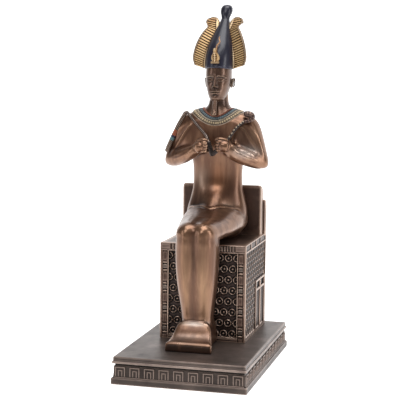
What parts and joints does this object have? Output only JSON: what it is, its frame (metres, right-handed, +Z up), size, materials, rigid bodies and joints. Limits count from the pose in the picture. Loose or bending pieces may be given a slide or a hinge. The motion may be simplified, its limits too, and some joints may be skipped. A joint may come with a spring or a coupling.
{
  "type": "seated osiris figurine",
  "caption": "Tabletop bronze-finish statuette of a shrouded god with crook, flail and plumed crown, seated on a carved block throne and plinth.",
  "frame": {"origin": "centre of the plinth's underside", "axes": "+Z up, -Y the way the figure faces, +X the figure's left"},
  "size_m": [0.0922, 0.1398, 0.2532],
  "materials": {
    "plinth_bronze": "dark grey-brown bronze patina, satin, worn lighter at the edges",
    "throne_bronze": "dark bronze patina in the recesses, copper on the raised carving",
    "figure_bronze": "satin copper bronze with brown shadows",
    "crown_enamel": "gloss blue-black paint",
    "plume_gold": "old gold paint, dark between the ribs",
    "collar_paint": "rows of cream, teal, blue-grey and red-brown paint with dark outlines",
    "regalia_bronze": "dark bronze with light bands and teal and red-brown accents"
  },
  "bodies": {
    "root": {"plinth": "plinth_bronze", "throne": "throne_bronze", "figure": "figure_bronze"}
  },
  "joints": []
}
